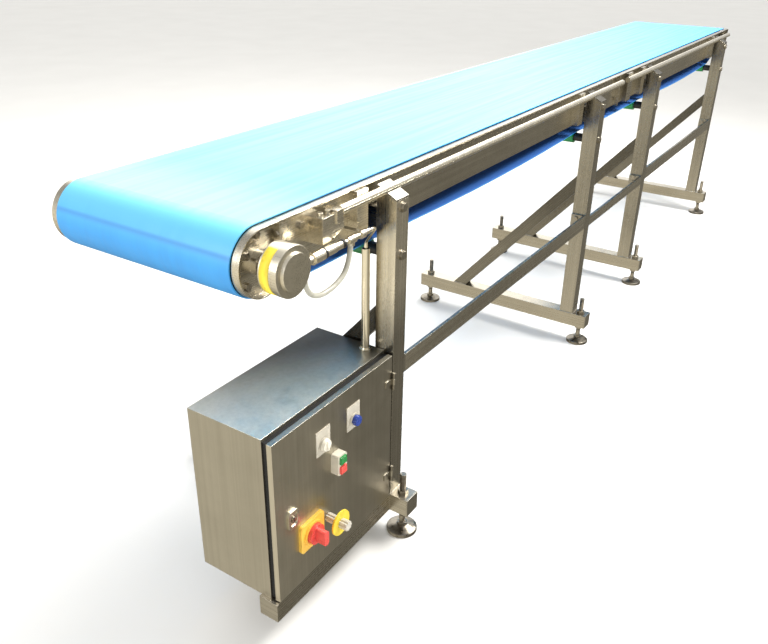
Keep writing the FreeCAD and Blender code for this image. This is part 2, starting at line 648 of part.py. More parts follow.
def make_isolator_plate():
    x, z = ISOLATOR_AT
    half_w, half_h = ISOLATOR_W / 2, ISOLATOR_H / 2
    plate = box(x - half_w, DOOR_Y - ISOLATOR_T, z - half_h, x + half_w, DOOR_Y, z + half_h)
    plate = plate.makeFillet(8.0, [e for e in plate.Edges if abs(e.tangentAt(e.FirstParameter).y) > 0.9])
    ring = ring_y(x, z, HANDLE_R + 6, HANDLE_R + 0.6, DOOR_Y - ISOLATOR_T - 4, DOOR_Y - ISOLATOR_T)
    return fuse([plate, ring]).cut(rod_y(x, z, 8.0, DOOR_Y - ISOLATOR_T - 1, DOOR_Y + 1))


def make_isolator_handle():
    """Round base with a grip bar across it and a shaft through the door."""
    x, z = ISOLATOR_AT
    y_face = DOOR_Y - ISOLATOR_T - 0.4
    base = rod_y(x, z, HANDLE_R, y_face - 12, y_face)
    grip = box(x - 8, y_face - 37, z - 18, x + 8, y_face - 12, z + 18)
    upright = [e for e in grip.Edges if abs(e.tangentAt(e.FirstParameter).y) > 0.9]
    shaft = rod_y(x, z, 7.7, y_face - 1, 30)
    return fuse([base, grip.makeFillet(6.0, upright), shaft])


STEM_R, COLLAR_R, KNOB_R = 11.0, 30.5, 12.0
COLLAR_Y = (-40.0, -36.0)
KNOB_END_Y = -60.0
RIBS = 8
RIB_R = 2.6


def ribbed(x, z, r, y0, y1):
    """Round bar with half-round ribs along it."""
    reach = r - RIB_R
    shapes = [rod_y(x, z, reach, y0, y1)]
    for k in range(RIBS):
        turn = 2 * math.pi * k / RIBS
        shapes.append(rod_y(x + reach * math.cos(turn), z + reach * math.sin(turn), RIB_R, y0, y1))
    return fuse(shapes)


def make_ribbed_knob():
    x, z = COLLAR_AT
    stem = ribbed(x, z, STEM_R, COLLAR_Y[1], DOOR_Y - 0.5)
    core = rod_y(x, z, 7.0, COLLAR_Y[0], COLLAR_Y[1])
    head = ribbed(x, z, KNOB_R, KNOB_END_Y, COLLAR_Y[0])
    shaft = rod_y(x, z, 8.6, DOOR_Y - 2, 20)
    return fuse([stem, core, head, shaft])


def make_collar():
    x, z = COLLAR_AT
    return ring_y(x, z, COLLAR_R, 7.0, COLLAR_Y[0], COLLAR_Y[1])


LOCK_W, LOCK_H = 34.0, 46.0


def make_lock_plate():
    x, z = LOCK_AT
    body = box(x - LOCK_W / 2, DOOR_Y - 4, z - LOCK_H / 2, x + LOCK_W / 2, DOOR_Y, z + LOCK_H / 2)
    upright = [e for e in body.Edges if abs(e.tangentAt(e.FirstParameter).y) > 0.9]
    body = body.makeFillet(9.0, upright)
    recess = box(x - 10.5, DOOR_Y - 5, z - 16.5, x + 10.5, DOOR_Y - 1.5, z + 16.5)
    upright = [e for e in recess.Edges if abs(e.tangentAt(e.FirstParameter).y) > 0.9]
    return cut(body, [recess.makeFillet(6.0, upright), rod_y(x, z, 8.0, DOOR_Y - 5, DOOR_Y + 1)])


def make_lock():
    """Quarter-turn insert with a slot and its cam, all inside the door's own depth."""
    x, z = LOCK_AT
    insert = rod_y(x, z, 7.7, DOOR_Y - 5, 12)
    slot = box(x - 1.2, DOOR_Y - 6, z - 6, x + 1.2, DOOR_Y - 2.5, z + 6)
    cam = box(x - 30, 9, z - 7, x + 7, 12, z + 7)
    return insert.cut(slot).fuse(cam).removeSplitter()


def export_box():
    export("box_body", [make_box_body()])
    export("box_door", [make_door()])
    export("door_gasket", [make_gasket()])
    export("door_hinges", [make_hinge(z0, z1) for z0, z1 in HINGE_Z])
    export("mounting_plate", make_panel())
    export("legend_plates", [make_legend(WHITE_AT), make_legend(BLUE_AT)])
    export("white_knob", [make_white_knob()])
    export("blue_button", [make_blue_button()])
    export("button_housing", [make_pair_housing()])
    export("start_button", [make_push(PUSH_OFFSET)])
    export("stop_button", [make_push(-PUSH_OFFSET)])
    export("isolator_plate", [make_isolator_plate()])
    export("isolator_handle", [make_isolator_handle()])
    export("ribbed_knob", [make_ribbed_knob()])
    export("knob_collar", [make_collar()])
    export("lock_plate", [make_lock_plate()])
    export("door_lock", [make_lock()])


# ---- drum motor junction box and cable line ----
JBOX_R = 49.0
JBOX_Y = (-2.0, NECK_Y)
LID_Y = -15.0
CROWN_R, CROWN_H = 36.0, 6.0
JBOX_WALL = 3.0


def make_junction_box():
    cup = rod_y(DRUM_X, DRUM_Z, JBOX_R, JBOX_Y[0], JBOX_Y[1])
    cup = cup.cut(rod_y(DRUM_X, DRUM_Z, JBOX_R - JBOX_WALL, JBOX_Y[0] - 1, JBOX_Y[1] - JBOX_WALL))
    return cup.cut(rod_x(PIPE_Y, PIPE_Z, 7.0, DRUM_X + 30, DRUM_X + JBOX_R + 5))


def make_junction_lid():
    """Stepped lid: a broad rim, a raised crown and a spigot inside the box."""
    rim = rod_y(DRUM_X, DRUM_Z, JBOX_R + 1.0, LID_Y, JBOX_Y[0])
    rim = rim.makeFillet(2.0, [e for e in rim.Edges if e.CenterOfMass.y < LID_Y + 0.1])
    crown = Part.makeCone(CROWN_R + 2, CROWN_R, CROWN_H, V(DRUM_X, LID_Y, DRUM_Z), V(0, -1, 0))
    spigot = rod_y(DRUM_X, DRUM_Z, JBOX_R - JBOX_WALL - 0.3, JBOX_Y[0], JBOX_Y[0] + 6)
    return fuse([rim, crown, spigot])


GLAND_X0 = DRUM_X + math.sqrt(JBOX_R ** 2 - (DRUM_Z - PIPE_Z + 14) ** 2)
LINE_FITTINGS = [                             # (end x, radius) along the cable line after the gland's nut
    (-276.0, 9.0),
    (-244.0, 12.0),
    (-236.0, 9.0),
    (-205.0, 10.0),
    (-184.0, 8.5),
    (PIPE_X[0], 7.5),
]
TEE_X = (-162.0, -138.0)                      # tee fitting where the loop cable joins the pipe
LOOP_D = 11.0
LOOP_ROUTE = [                                # loop cable's control points
    (-302.0, 13.0, 848.0),
    (-302.0, 11.0, 804.0),
    (-267.0, 8.0, 778.0),
    (-209.0, 8.0, 782.0),
    (-162.0, 10.0, 804.0),
    (-150.0, 13.0, 848.0),
]
FEED_ROUTE = [                                # swan neck from the pipe into the riser
    (-88.0, 13.0, 860.0),
    (-60.0, 14.0, 858.0),
    (-38.0, 40.0, 832.0),
    (CONDUIT_X, CONDUIT_Y, 806.0),
    (CONDUIT_X, CONDUIT_Y, 786.0),
]
RISER_TOP = 790.0


def make_loop_end(end, inside, length):
    """Round fitting in line with the loop cable, from the cable's end away from the cable."""
    way = (V(*end) - V(*inside)).normalize()
    return Part.makeCylinder(LOOP_D / 2 + 2.5, length, V(*end), way)


def make_glands():
    """Gland with its line of fittings and the loop's branch, the tee and the box's inlet gland."""
    y, z = PIPE_Y, PIPE_Z
    start = GLAND_X0 + 12
    line = [hexagon_x(y, z, 24, GLAND_X0, start), make_loop_end(LOOP_ROUTE[0], LOOP_ROUTE[1], 12)]
    for end, r in LINE_FITTINGS:
        line.append(rod_x(y, z, r, start, end))
        start = end
    junction = rod_y(DRUM_X, DRUM_Z, JBOX_R + 1.0, LID_Y, JBOX_Y[0])
    junction = junction.fuse(rod_y(DRUM_X, DRUM_Z, JBOX_R, JBOX_Y[0], JBOX_Y[1]))
    tee = rod_x(y, z, PIPE_R + 2.5, TEE_X[0], TEE_X[1])
    tee = tee.fuse(make_loop_end(LOOP_ROUTE[-1], LOOP_ROUTE[-2], 12))
    tee = tee.cut(rod_x(y, z, PIPE_R, TEE_X[0] - 20, TEE_X[1] + 20))
    inlet_nut = hexagon_z(INLET_X, INLET_Y, 27, BOX_Z[0] - 8, BOX_Z[0])
    inlet = rod_z(INLET_X, INLET_Y, 10, BOX_Z[0] - 24, BOX_Z[0] + 10)
    return [fuse(line).cut(junction), tee, fuse([inlet_nut, inlet])]


def cable_tube(name, route, r):
    """Tube of straight runs with tangent arcs; each arc takes 0.45 of the shorter run beside it."""
    points = [V(*point) for point in route]
    edges = []
    start = points[0]
    for before, corner, after in zip(points[:-2], points[1:-1], points[2:]):
        back, ahead = before - corner, after - corner
        trim = 0.45 * min(back.Length, ahead.Length)
        half_turn = (math.pi - back.getAngle(ahead)) / 2
        bend_r = trim / math.tan(half_turn)
        back.normalize()
        ahead.normalize()
        bisector = (back + ahead).normalize()
        centre = corner + bisector * (bend_r / math.cos(half_turn))
        arc_start, arc_end = corner + back * trim, corner + ahead * trim
        edges.append(Part.makeLine(start, arc_start))
        edges.append(Part.Arc(arc_start, centre - bisector * bend_r, arc_end).toShape())
        start = arc_end
        print(name, "bend radius %.1f" % bend_r)
    edges.append(Part.makeLine(start, points[-1]))
    spine = Part.Wire(edges)
    profile = Part.Wire([Part.makeCircle(r, points[0], points[1] - points[0])])
    tube = spine.makePipeShell([profile], True, True)
    expected = math.pi * r * r * spine.Length
    print(name, "length %.1f volume ratio %.4f" % (spine.Length, tube.Volume / expected))
    return tube


def make_conduits():
    """Riser from the control box, its collar, the short pipe and the swan neck between them."""
    x, y = CONDUIT_X, CONDUIT_Y
    z0 = BOX_Z[1]
    riser = rod_z(x, y, CONDUIT_R, z0, RISER_TOP).cut(rod_z(x, y, CONDUIT_R - 2, z0 - 1, RISER_TOP + 1))
    collar = rod_z(x, y, 14, z0, z0 + 4).cut(rod_z(x, y, CONDUIT_R, z0 - 1, z0 + 6))
    pipe = rod_x(PIPE_Y, PIPE_Z, PIPE_R, PIPE_X[0], PIPE_X[1])
    return [riser, collar, pipe, cable_tube("swan neck", FEED_ROUTE, 4.5)]


def export_cabling():
    export("junction_box", [make_junction_box()])
    export("junction_lid", [make_junction_lid()])
    export("cable_glands", make_glands())
    export("conduits", make_conduits())
    export("loop_cable", [cable_tube("loop cable", LOOP_ROUTE, LOOP_D / 2)])


# ---- fasteners ----
WEB_BOLTS = [(-239.0, 906.0), (-396.0, 893.0), (-397.0, 833.0), (-366.0, 926.0)]     # (x, z), drive end
def make_leg_bolt(x, z):
    """Hexagon bolt with its washer on the leg's outer face, through the leg."""
    head = hexagon(V(x, -7, z), 18, 7, V(0, 1, 0))
    washer = rod_y(x, z, 12, -1.5, 0)
    return fuse([head, washer, rod_y(x, z, 6, -1, TUBE)])


def make_seam_bolt(seam_x, z):
    """Bolt with nut through the two rims that meet at a seam."""
    grip = SEAM_GAP / 2 + SHEET
    head = hexagon_x(SEAM_BOLT_Y, z, 12, seam_x - grip - 5, seam_x - grip)
    nut = hexagon_x(SEAM_BOLT_Y, z, 12, seam_x + grip, seam_x + grip + 5)
    return fuse([head, nut, rod_x(SEAM_BOLT_Y, z, SEAM_BOLT_R, seam_x - grip, seam_x + grip)])


def export_bolts():
    bolts = []
    for x in LEG_X:
        bolts.append(make_leg_bolt(x + HALF, ROLLER_Z))
        bolts.append(make_leg_bolt(x + HALF, RAIL_BOLT_Z))
    for left, right, (z0, z1) in zip(LEG_X[:-1], LEG_X[1:], STRETCHER_Z):
        x0, x1 = left + TUBE + END_PLATE_T, right - END_PLATE_T
        for z in ((z0 + z1) / 2 - 11, (z0 + z1) / 2 + 11):
            bolts.append(hexagon_x(32, z, 13, x0, x0 + 6))
            bolts.append(hexagon_x(32, z, 13, x1 - 6, x1))
    for seam_x in SEAMS_X:
        for z in SEAM_BOLT_Z:
            bolts.append(make_seam_bolt(seam_x, z))
            bolts.append(mirror_y(bolts[-1]))
    bolts += [hexagon(V(x, WEB_Y[0] - 6, z), 14, 6, V(0, 1, 0)) for x, z in WEB_BOLTS]
    export("frame_bolts", bolts)


export_stands()
export_feet()
export_bed()
export_drive()
export_rails()
export_box()
export_cabling()
export_bolts()
print(len(exported), "nodes")
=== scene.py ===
"""Belt conveyor section: materials, finish details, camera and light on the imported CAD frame."""

import math
from collections import namedtuple

import bmesh
import bpy
from mathutils import Euler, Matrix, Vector


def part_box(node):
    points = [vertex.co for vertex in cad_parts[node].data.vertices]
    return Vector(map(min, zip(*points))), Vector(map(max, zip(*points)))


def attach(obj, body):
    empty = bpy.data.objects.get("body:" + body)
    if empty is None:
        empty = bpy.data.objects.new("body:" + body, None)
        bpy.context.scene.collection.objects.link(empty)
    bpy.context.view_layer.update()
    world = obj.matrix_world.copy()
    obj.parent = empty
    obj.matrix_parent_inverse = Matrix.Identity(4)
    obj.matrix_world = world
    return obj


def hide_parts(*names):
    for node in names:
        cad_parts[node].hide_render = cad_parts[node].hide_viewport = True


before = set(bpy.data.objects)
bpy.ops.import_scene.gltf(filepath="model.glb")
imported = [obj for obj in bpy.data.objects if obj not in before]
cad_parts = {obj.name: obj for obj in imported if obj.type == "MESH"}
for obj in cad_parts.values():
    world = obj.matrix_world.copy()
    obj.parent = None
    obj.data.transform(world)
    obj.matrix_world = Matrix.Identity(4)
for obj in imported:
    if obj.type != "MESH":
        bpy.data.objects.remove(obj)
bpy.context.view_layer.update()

X_AXIS = Vector((1, 0, 0))
Z_AXIS = Vector((0, 0, 1))


# ---------------------------------------------------------------- camera

LENS_MM = 36.73
SENSOR_MM = 36.0
CAMERA_AT = (-2.8368, -1.1460, 1.4298)
CAMERA_TURN = (62.8805, -0.8847, -56.7403)      # degrees about x, y, z

scene = bpy.context.scene
scene.view_settings.view_transform = "Standard"

camera_data = bpy.data.cameras.new("camera")
camera_data.lens = LENS_MM
camera_data.sensor_width = SENSOR_MM
camera = bpy.data.objects.new("camera", camera_data)
camera.location = CAMERA_AT
camera.rotation_euler = Euler([math.radians(angle) for angle in CAMERA_TURN])
scene.collection.objects.link(camera)
scene.camera = camera


# ---------------------------------------------------------------- material nodes

class Nodes:
    """A node tree, with short calls that add a node and link its inputs."""

    def __init__(self, tree):
        self.tree = tree

    def add(self, kind, **settings):
        node = self.tree.nodes.new(kind)
        for key, value in settings.items():
            setattr(node, key, value)
        return node

    def feed(self, socket, value):
        if isinstance(value, bpy.types.NodeSocket):
            self.tree.links.new(value, socket)
        else:
            socket.default_value = value

    def math(self, operation, a, b=0.0, c=0.0):
        node = self.add("ShaderNodeMath", operation=operation)
        for socket, value in zip(node.inputs, (a, b, c)):
            self.feed(socket, value)
        return node.outputs[0]

    def steps(self, value, low, high, to_low=0.0, to_high=1.0):
        """value from low..high to to_low..to_high, smoothly, held at the ends."""
        node = self.add("ShaderNodeMapRange", interpolation_type="SMOOTHSTEP")
        for socket, number in zip(node.inputs, (value, low, high, to_low, to_high)):
            self.feed(socket, number)
        return node.outputs[0]

    def parts(self, vector):
        node = self.add("ShaderNodeSeparateXYZ")
        self.feed(node.inputs[0], vector)
        return node.outputs

    def ramp(self, value, *stops):
        """Colours by value: stops are (position, (r, g, b))."""
        node = self.add("ShaderNodeValToRGB")
        self.feed(node.inputs[0], value)
        elements = node.color_ramp.elements
        while len(elements) < len(stops):
            elements.new(0.5)
        for element, (position, colour) in zip(elements, stops):
            element.position = position
            element.color = (*colour, 1.0)
        return node.outputs[0]

    def mix(self, factor, a, b):
        """Colour a where factor is 0, colour b where it is 1."""
        node = self.add("ShaderNodeMix", data_type="RGBA")
        for socket, value in ((node.inputs[0], factor), (node.inputs[6], a), (node.inputs[7], b)):
            self.feed(socket, (*value, 1.0) if isinstance(value, tuple) else value)
        return node.outputs[2]

    def scaled(self, colour, factor):
        node = self.add("ShaderNodeVectorMath", operation="SCALE")
        self.feed(node.inputs[0], colour)
        self.feed(node.inputs["Scale"], factor)
        return node.outputs[0]

    def dot(self, a, b):
        node = self.add("ShaderNodeVectorMath", operation="DOT_PRODUCT")
        self.feed(node.inputs[0], a)
        self.feed(node.inputs[1], b)
        return node.outputs["Value"]


class Graph(Nodes):
    """A material's node tree, with its shader, coordinates, noise and bevel."""

    def __init__(self, name):
        self.material = bpy.data.materials.new(name)
        self.material.use_nodes = True
        super().__init__(self.material.node_tree)
        self.shader = self.tree.nodes["Principled BSDF"]
        self.object_coords = self.add("ShaderNodeTexCoord").outputs["Object"]
        self.geometry = self.add("ShaderNodeNewGeometry")

    def set(self, **inputs):
        """Shader inputs by name, with _ for a space."""
        for key, value in inputs.items():
            self.feed(self.shader.inputs[key.replace("_", " ")], value)

    def noise(self, size, detail=3.0, roughness=0.5, turn=(0, 0, 0)):
        """Noise whose features are size = (x, y, z) metres, in axes turned by turn degrees."""
        mapping = self.add("ShaderNodeMapping", vector_type="TEXTURE")
        self.feed(mapping.inputs["Vector"], self.object_coords)
        mapping.inputs["Rotation"].default_value = [math.radians(a) for a in turn]
        mapping.inputs["Scale"].default_value = size
        node = self.add("ShaderNodeTexNoise")
        node.inputs["Scale"].default_value = 1.0
        node.inputs["Detail"].default_value = detail
        node.inputs["Roughness"].default_value = roughness
        self.feed(node.inputs["Vector"], mapping.outputs[0])
        return node.outputs[0]

    def edges(self, radius):
        """(edge mask 0..1, softened normal) from the bevel node."""
        bevel = self.add("ShaderNodeBevel", samples=4)
        bevel.inputs["Radius"].default_value = radius
        turned_away = self.dot(bevel.outputs[0], self.geometry.outputs["True Normal"])
        return self.steps(turned_away, 0.995, 0.80), bevel.outputs[0]

    def bump(self, height, distance, strength=1.0, normal=None):
        node = self.add("ShaderNodeBump")
        node.inputs["Strength"].default_value = strength
        node.inputs["Distance"].default_value = distance
        self.feed(node.inputs["Height"], height)
        if normal is not None:
            self.feed(node.inputs["Normal"], normal)
        return node.outputs[0]


FAR = 0.9               # a feature length that runs the length of a part
FINE_STREAK = 0.0011    # widths of the grinding streaks
BROAD_STREAK = 0.009

# Painted light and shade: scales the tone from to_low to to_high, between low and high along direction. An
# upward one lies on upward faces only.
PaintedLight = namedtuple("PaintedLight", "direction low high to_low to_high upward", defaults=[False])


def brushed(name, grain, dark, light, rough, turn=(0, 0, 0), wear=0.35, edge=0.0012, painted_light=()):
    """Stainless steel, ground along the grain axes: streaks, clouding, smudges, worn edges, and painted
    light and shade.
    """
    g = Graph(name)
    fine_size = [FAR if axis in grain else FINE_STREAK for axis in "xyz"]
    broad_size = [FAR if axis in grain else BROAD_STREAK for axis in "xyz"]
    fine = g.noise(fine_size, 2.0, 0.6, turn)
    broad = g.noise(broad_size, 2.0, 0.5, turn)
    cloud = g.noise((0.16, 0.16, 0.16), 4.0, 0.6)
    smudge = g.noise((0.035, 0.035, 0.035), 5.0, 0.65)
    clouded = g.math("MULTIPLY_ADD", broad, 0.35, g.math("MULTIPLY", cloud, 0.30))
    tone = g.math("MULTIPLY_ADD", fine, 0.35, clouded)
    edge_mask, soft = g.edges(edge)
    steel = g.ramp(tone, (0.34, dark), (0.66, light))
    bright = tuple(min(1.0, 1.25 * c) for c in light)
    colour = g.mix(g.math("MULTIPLY", edge_mask, wear), steel, bright)
    # painted light and shade: each patch scales the steel's colour along its direction
    for light_patch in painted_light:
        place = g.dot(g.object_coords, light_patch.direction)
        factor = g.steps(place, light_patch.low, light_patch.high, light_patch.to_low, light_patch.to_high)
        if light_patch.upward:
            up = g.steps(g.dot(g.geometry.outputs["Normal"], Z_AXIS), 0.3, 0.8)
            factor = g.math("MULTIPLY_ADD", up, g.math("SUBTRACT", factor, 1.0), 1.0)
        colour = g.scaled(colour, factor)
    smears = g.math("MULTIPLY_ADD", fine, 0.5, g.math("MULTIPLY", smudge, 0.5))
    g.set(
        Base_Color=colour,
        Metallic=1.0,
        Roughness=g.math("ADD", g.steps(smears, 0.35, 0.65, *rough), g.math("MULTIPLY", edge_mask, -0.05)),
        Normal=g.bump(fine, 0.00012, 0.35, soft),
    )
    return g.material


def turned(name, dark, light, rough):
    """Steel turned on a lathe about Y: fine rings across the axis."""
    g = Graph(name)
    rings = g.noise((FAR, 0.0009, FAR), 2.0)
    cloud = g.noise((0.05, 0.05, 0.05), 4.0)
    edge_mask, soft = g.edges(0.0008)
    tone = g.math("MULTIPLY_ADD", rings, 0.5, g.math("MULTIPLY", cloud, 0.5))
    steel = g.ramp(tone, (0.35, dark), (0.65, light))
    g.set(
        Base_Color=g.mix(g.math("MULTIPLY", edge_mask, 0.4), steel, (0.75, 0.72, 0.66)),
        Metallic=1.0,
        Roughness=g.steps(tone, 0.35, 0.65, *rough),
        Normal=g.bump(rings, 0.00015, 0.4, soft),
    )
    return g.material


def moulded(name, colour, rough=0.38, grain=0.0006, depth=0.00006, wear=0.25, specular=0.5, coat=0.0):
    """Moulded or painted plastic: spark grain, faint clouding, pale rubbed edges."""
    g = Graph(name)
    spark = g.noise((grain, grain, grain), 2.0, 0.6)
    cloud = g.noise((0.02, 0.02, 0.02), 4.0, 0.6)
    edge_mask, soft = g.edges(0.0007)
    deep = tuple(0.86 * c for c in colour)
    pale = tuple(c + 0.30 * (1.0 - c) for c in colour)
    clouded = g.ramp(cloud, (0.3, deep), (0.7, colour))
    g.set(
        Base_Color=g.mix(g.math("MULTIPLY", edge_mask, wear), clouded, pale),
        Roughness=g.steps(cloud, 0.3, 0.7, rough - 0.06, rough + 0.08),
        Normal=g.bump(spark, depth, 0.5, soft),
    )
    g.shader.inputs["Specular IOR Level"].default_value = specular
    g.shader.inputs["Coat Weight"].default_value = coat
    return g.material


BED_MID_Z = (0.905, 0.895)          # between the carrying run and the lower run
DRUM_SHADE_Z = (0.80, 0.93)         # painted shade: the belt darkens downwards round the drive drum
DRUM_HIGHLIGHT_Z = (0.86, 0.94)              # painted highlight: the belt paler over the top of the drive drum
DRUM_HIGHLIGHT_X = (-1.60, -1.82)
WEAVE_PER_METRE = 900.0


def belt_material():
    """Food-grade blue belt: smooth top with a fine matt grain, a deeper blue weave on the inside, a painted
    highlight over the drive drum and painted shade below it.
    """
    g = Graph("belt_blue_skin")
    grain = g.noise((0.0012, 0.0012, 0.0012), 3.0, 0.6)
    cloud = g.noise((0.30, 0.12, 0.30), 4.0, 0.55)
    scuff = g.noise((0.60, 0.012, 0.60), 2.0, 0.5)
    weave = g.add("ShaderNodeTexChecker")
    g.feed(weave.inputs["Vector"], g.object_coords)
    weave.inputs["Scale"].default_value = WEAVE_PER_METRE
    edge_mask, soft = g.edges(0.0010)
    up = g.parts(g.geometry.outputs["Normal"])[2]
    along, _, height = g.parts(g.object_coords)
    lower_run = g.steps(height, *BED_MID_Z)
    inside_below = g.math("MULTIPLY", lower_run, g.steps(up, 0.2, 0.5))
    inside_above = g.math("MULTIPLY", g.math("SUBTRACT", 1.0, lower_run), g.steps(up, -0.2, -0.5))
    inside = g.math("ADD", inside_below, inside_above)
    tone = g.math("MULTIPLY_ADD", cloud, 0.6, g.math("MULTIPLY", scuff, 0.4))
    top = g.ramp(tone, (0.35, (0.016, 0.340, 0.860)), (0.65, (0.026, 0.400, 0.950)))
    fabric = g.ramp(weave.outputs["Fac"], (0.2, (0.016, 0.125, 0.500)), (0.8, (0.022, 0.170, 0.620)))
    worn = g.mix(g.math("MULTIPLY", edge_mask, 0.25), top, (0.10, 0.45, 0.95))
    # painted highlight over the top of the drive drum
    drum_highlight = g.math("MULTIPLY", g.steps(height, *DRUM_HIGHLIGHT_Z), g.steps(along, *DRUM_HIGHLIGHT_X))
    highlighted = g.mix(drum_highlight, worn, (0.14, 0.60, 0.98))
    # painted shade: darker lower down round the drive drum
    drum_painted_shade = g.scaled(highlighted, g.steps(height, *DRUM_SHADE_Z, 0.72, 1.0))
    g.set(
        Base_Color=g.mix(inside, drum_painted_shade, fabric),
        Roughness=g.math("ADD", g.steps(scuff, 0.3, 0.7, 0.32, 0.42), g.math("MULTIPLY", inside, 0.4)),
        Normal=g.bump(grain, 0.00008, 0.35, soft),
    )
    g.shader.inputs["Specular IOR Level"].default_value = 0.85
    return g.material


THREAD_PITCH = 0.0022
THREAD_START_Z = (0.046, 0.048)
# painted shade: the feet darker towards the floor
SOLE_SHADE_Z = (0.012, 0.030)


def stud_steel():
    """Bright fastener steel, with the screw thread of the levelling studs above their feet, and painted
    shade darkening the feet towards the floor.
    """
    g = Graph("stud_steel")
    cloud = g.noise((0.015, 0.015, 0.015), 4.0, 0.6)
    edge_mask, soft = g.edges(0.0008)
    height = g.parts(g.object_coords)[2]
    turn = g.math("MULTIPLY", height, 2.0 * math.pi / THREAD_PITCH)
    ridge = g.math("MULTIPLY_ADD", g.math("SINE", turn), 0.5, 0.5)
    threaded = g.math("MULTIPLY", ridge, g.steps(height, *THREAD_START_Z))
    tone = g.math("MULTIPLY_ADD", threaded, -0.3, cloud)
    steel = g.ramp(tone, (0.25, (0.16, 0.14, 0.11)), (0.62, (0.46, 0.42, 0.35)))
    worn = g.mix(g.math("MULTIPLY", edge_mask, 0.4), steel, (0.70, 0.66, 0.58))
    g.set(
        # painted shade: darker towards the floor
        Base_Color=g.scaled(worn, g.steps(height, *SOLE_SHADE_Z, 0.55, 1.0)),
        Metallic=1.0,
        Roughness=g.steps(cloud, 0.3, 0.7, 0.26, 0.40),
        Normal=g.bump(threaded, 0.0009, 0.9, soft),
    )
    return g.material


# Steel tones as (dark, light) pairs, and roughness ranges.
PLATE = ((0.34, 0.315, 0.26), (0.52, 0.485, 0.41))
TUBE_STEEL = ((0.28, 0.26, 0.215), (0.43, 0.40, 0.34))
CROSS_STEEL = ((0.29, 0.27, 0.222), (0.44, 0.41, 0.345))
BEAM_STEEL = ((0.31, 0.285, 0.232), (0.46, 0.425, 0.355))
# painted shade: the braces get a darker copy of the tube steel
BRACE_STEEL_PAINTED_SHADE = ((0.17, 0.158, 0.130), (0.26, 0.243, 0.205))
HINGE_STEEL = ((0.20, 0.186, 0.152), (0.28, 0.26, 0.22))
SHEET = ((0.36, 0.335, 0.275), (0.47, 0.44, 0.37))
FASTENER = ((0.30, 0.275, 0.225), (0.50, 0.46, 0.39))
RAIL_STEEL = ((0.62, 0.58, 0.49), (0.86, 0.81, 0.69))
PIPE_STEEL = ((0.70, 0.65, 0.53), (0.93, 0.87, 0.72))
SHELL_STEEL = ((0.60, 0.565, 0.47), (0.78, 0.73, 0.61))

GROUND = (0.22, 0.34)
SATIN = (0.34, 0.46)
BRACE_ANGLE = 41.0      # degrees from upright

# painted light: the plates lighter towards the drive end
DRIVE_END_PAINTED_LIGHT = PaintedLight(X_AXIS, -1.65, -1.15, 1.55, 1.0)
# painted shade: upward faces of the plates darker
FLANGE_PAINTED_SHADE = PaintedLight(Z_AXIS, 0.0, 1.0, 0.65, 0.65, upward=True)
# painted light and shade: the door lighter at its drive-end side, darker beyond it
DOOR_PAINTED_LIGHT_AND_SHADE = PaintedLight(X_AXIS, -1.92, -1.55, 1.38, 0.88)
# painted shade: the tube end plates darker towards the leg tops
CAP_PAINTED_SHADE = PaintedLight(Z_AXIS, 0.80, 0.90, 1.0, 0.38)
# painted light: the first leg lighter towards its top
FIRST_LEG_PAINTED_LIGHT = PaintedLight(Z_AXIS, 0.56, 0.72, 0.75, 1.60)
# painted shade: the braces darker towards their tops
BRACE_PAINTED_SHADE = PaintedLight(Z_AXIS, 0.25, 0.60, 0.90, 0.60)
# painted light and shade: the box roof lit at its front edge and shaded towards the back, under the belt
BOX_ROOF_PAINTED_LIGHT_AND_SHADE = PaintedLight((0.49, 0.87, 0), -1.20, -0.86, 2.5, 0.07, upward=True)

steel_x = brushed("stainless_ground_x", "x", *PLATE, GROUND, painted_light=[DRIVE_END_PAINTED_LIGHT, FLANGE_PAINTED_SHADE])
steel_y = brushed("stainless_ground_y", "y", *CROSS_STEEL, GROUND)
steel_beam = brushed("stainless_beams", "xy", *BEAM_STEEL, GROUND)
steel_hinge = brushed("stainless_hinges", "z", *HINGE_STEEL, SATIN)
steel_door = brushed("stainless_door", "z", *SHEET, SATIN, painted_light=[DOOR_PAINTED_LIGHT_AND_SHADE])
steel_z = brushed("stainless_ground_z", "z", *TUBE_STEEL, GROUND)
steel_cap = brushed("stainless_caps", "y", *TUBE_STEEL, (0.26, 0.38), painted_light=[CAP_PAINTED_SHADE])
# painted light: the first leg gets a lighter copy of the leg steel, in the plate tones
steel_first_leg_painted_light = brushed("stainless_first_leg_painted_light", "z", *PLATE, GROUND, painted_light=[FIRST_LEG_PAINTED_LIGHT])
steel_brace = brushed("stainless_ground_brace", "z", *BRACE_STEEL_PAINTED_SHADE, GROUND,
                      turn=(BRACE_ANGLE, 0, 0), painted_light=[BRACE_PAINTED_SHADE])
steel_box = brushed("stainless_box", "z", *SHEET, SATIN, painted_light=[BOX_ROOF_PAINTED_LIGHT_AND_SHADE])
steel_sheet = brushed("stainless_sheet", "z", *SHEET, SATIN)
steel_bright = brushed("stainless_polished", "x", *RAIL_STEEL, (0.18, 0.30))
steel_pipe = brushed("stainless_pipe", "z", *PIPE_STEEL, (0.16, 0.26))
steel_bolt = brushed("fastener_steel", "z", *FASTENER, (0.20, 0.32), edge=0.0006)
steel_shell = brushed("junction_satin", "y", *SHELL_STEEL, (0.26, 0.36))
drum_steel = turned("drum_turned", (0.30, 0.28, 0.24), (0.52, 0.48, 0.42), (0.18, 0.30))

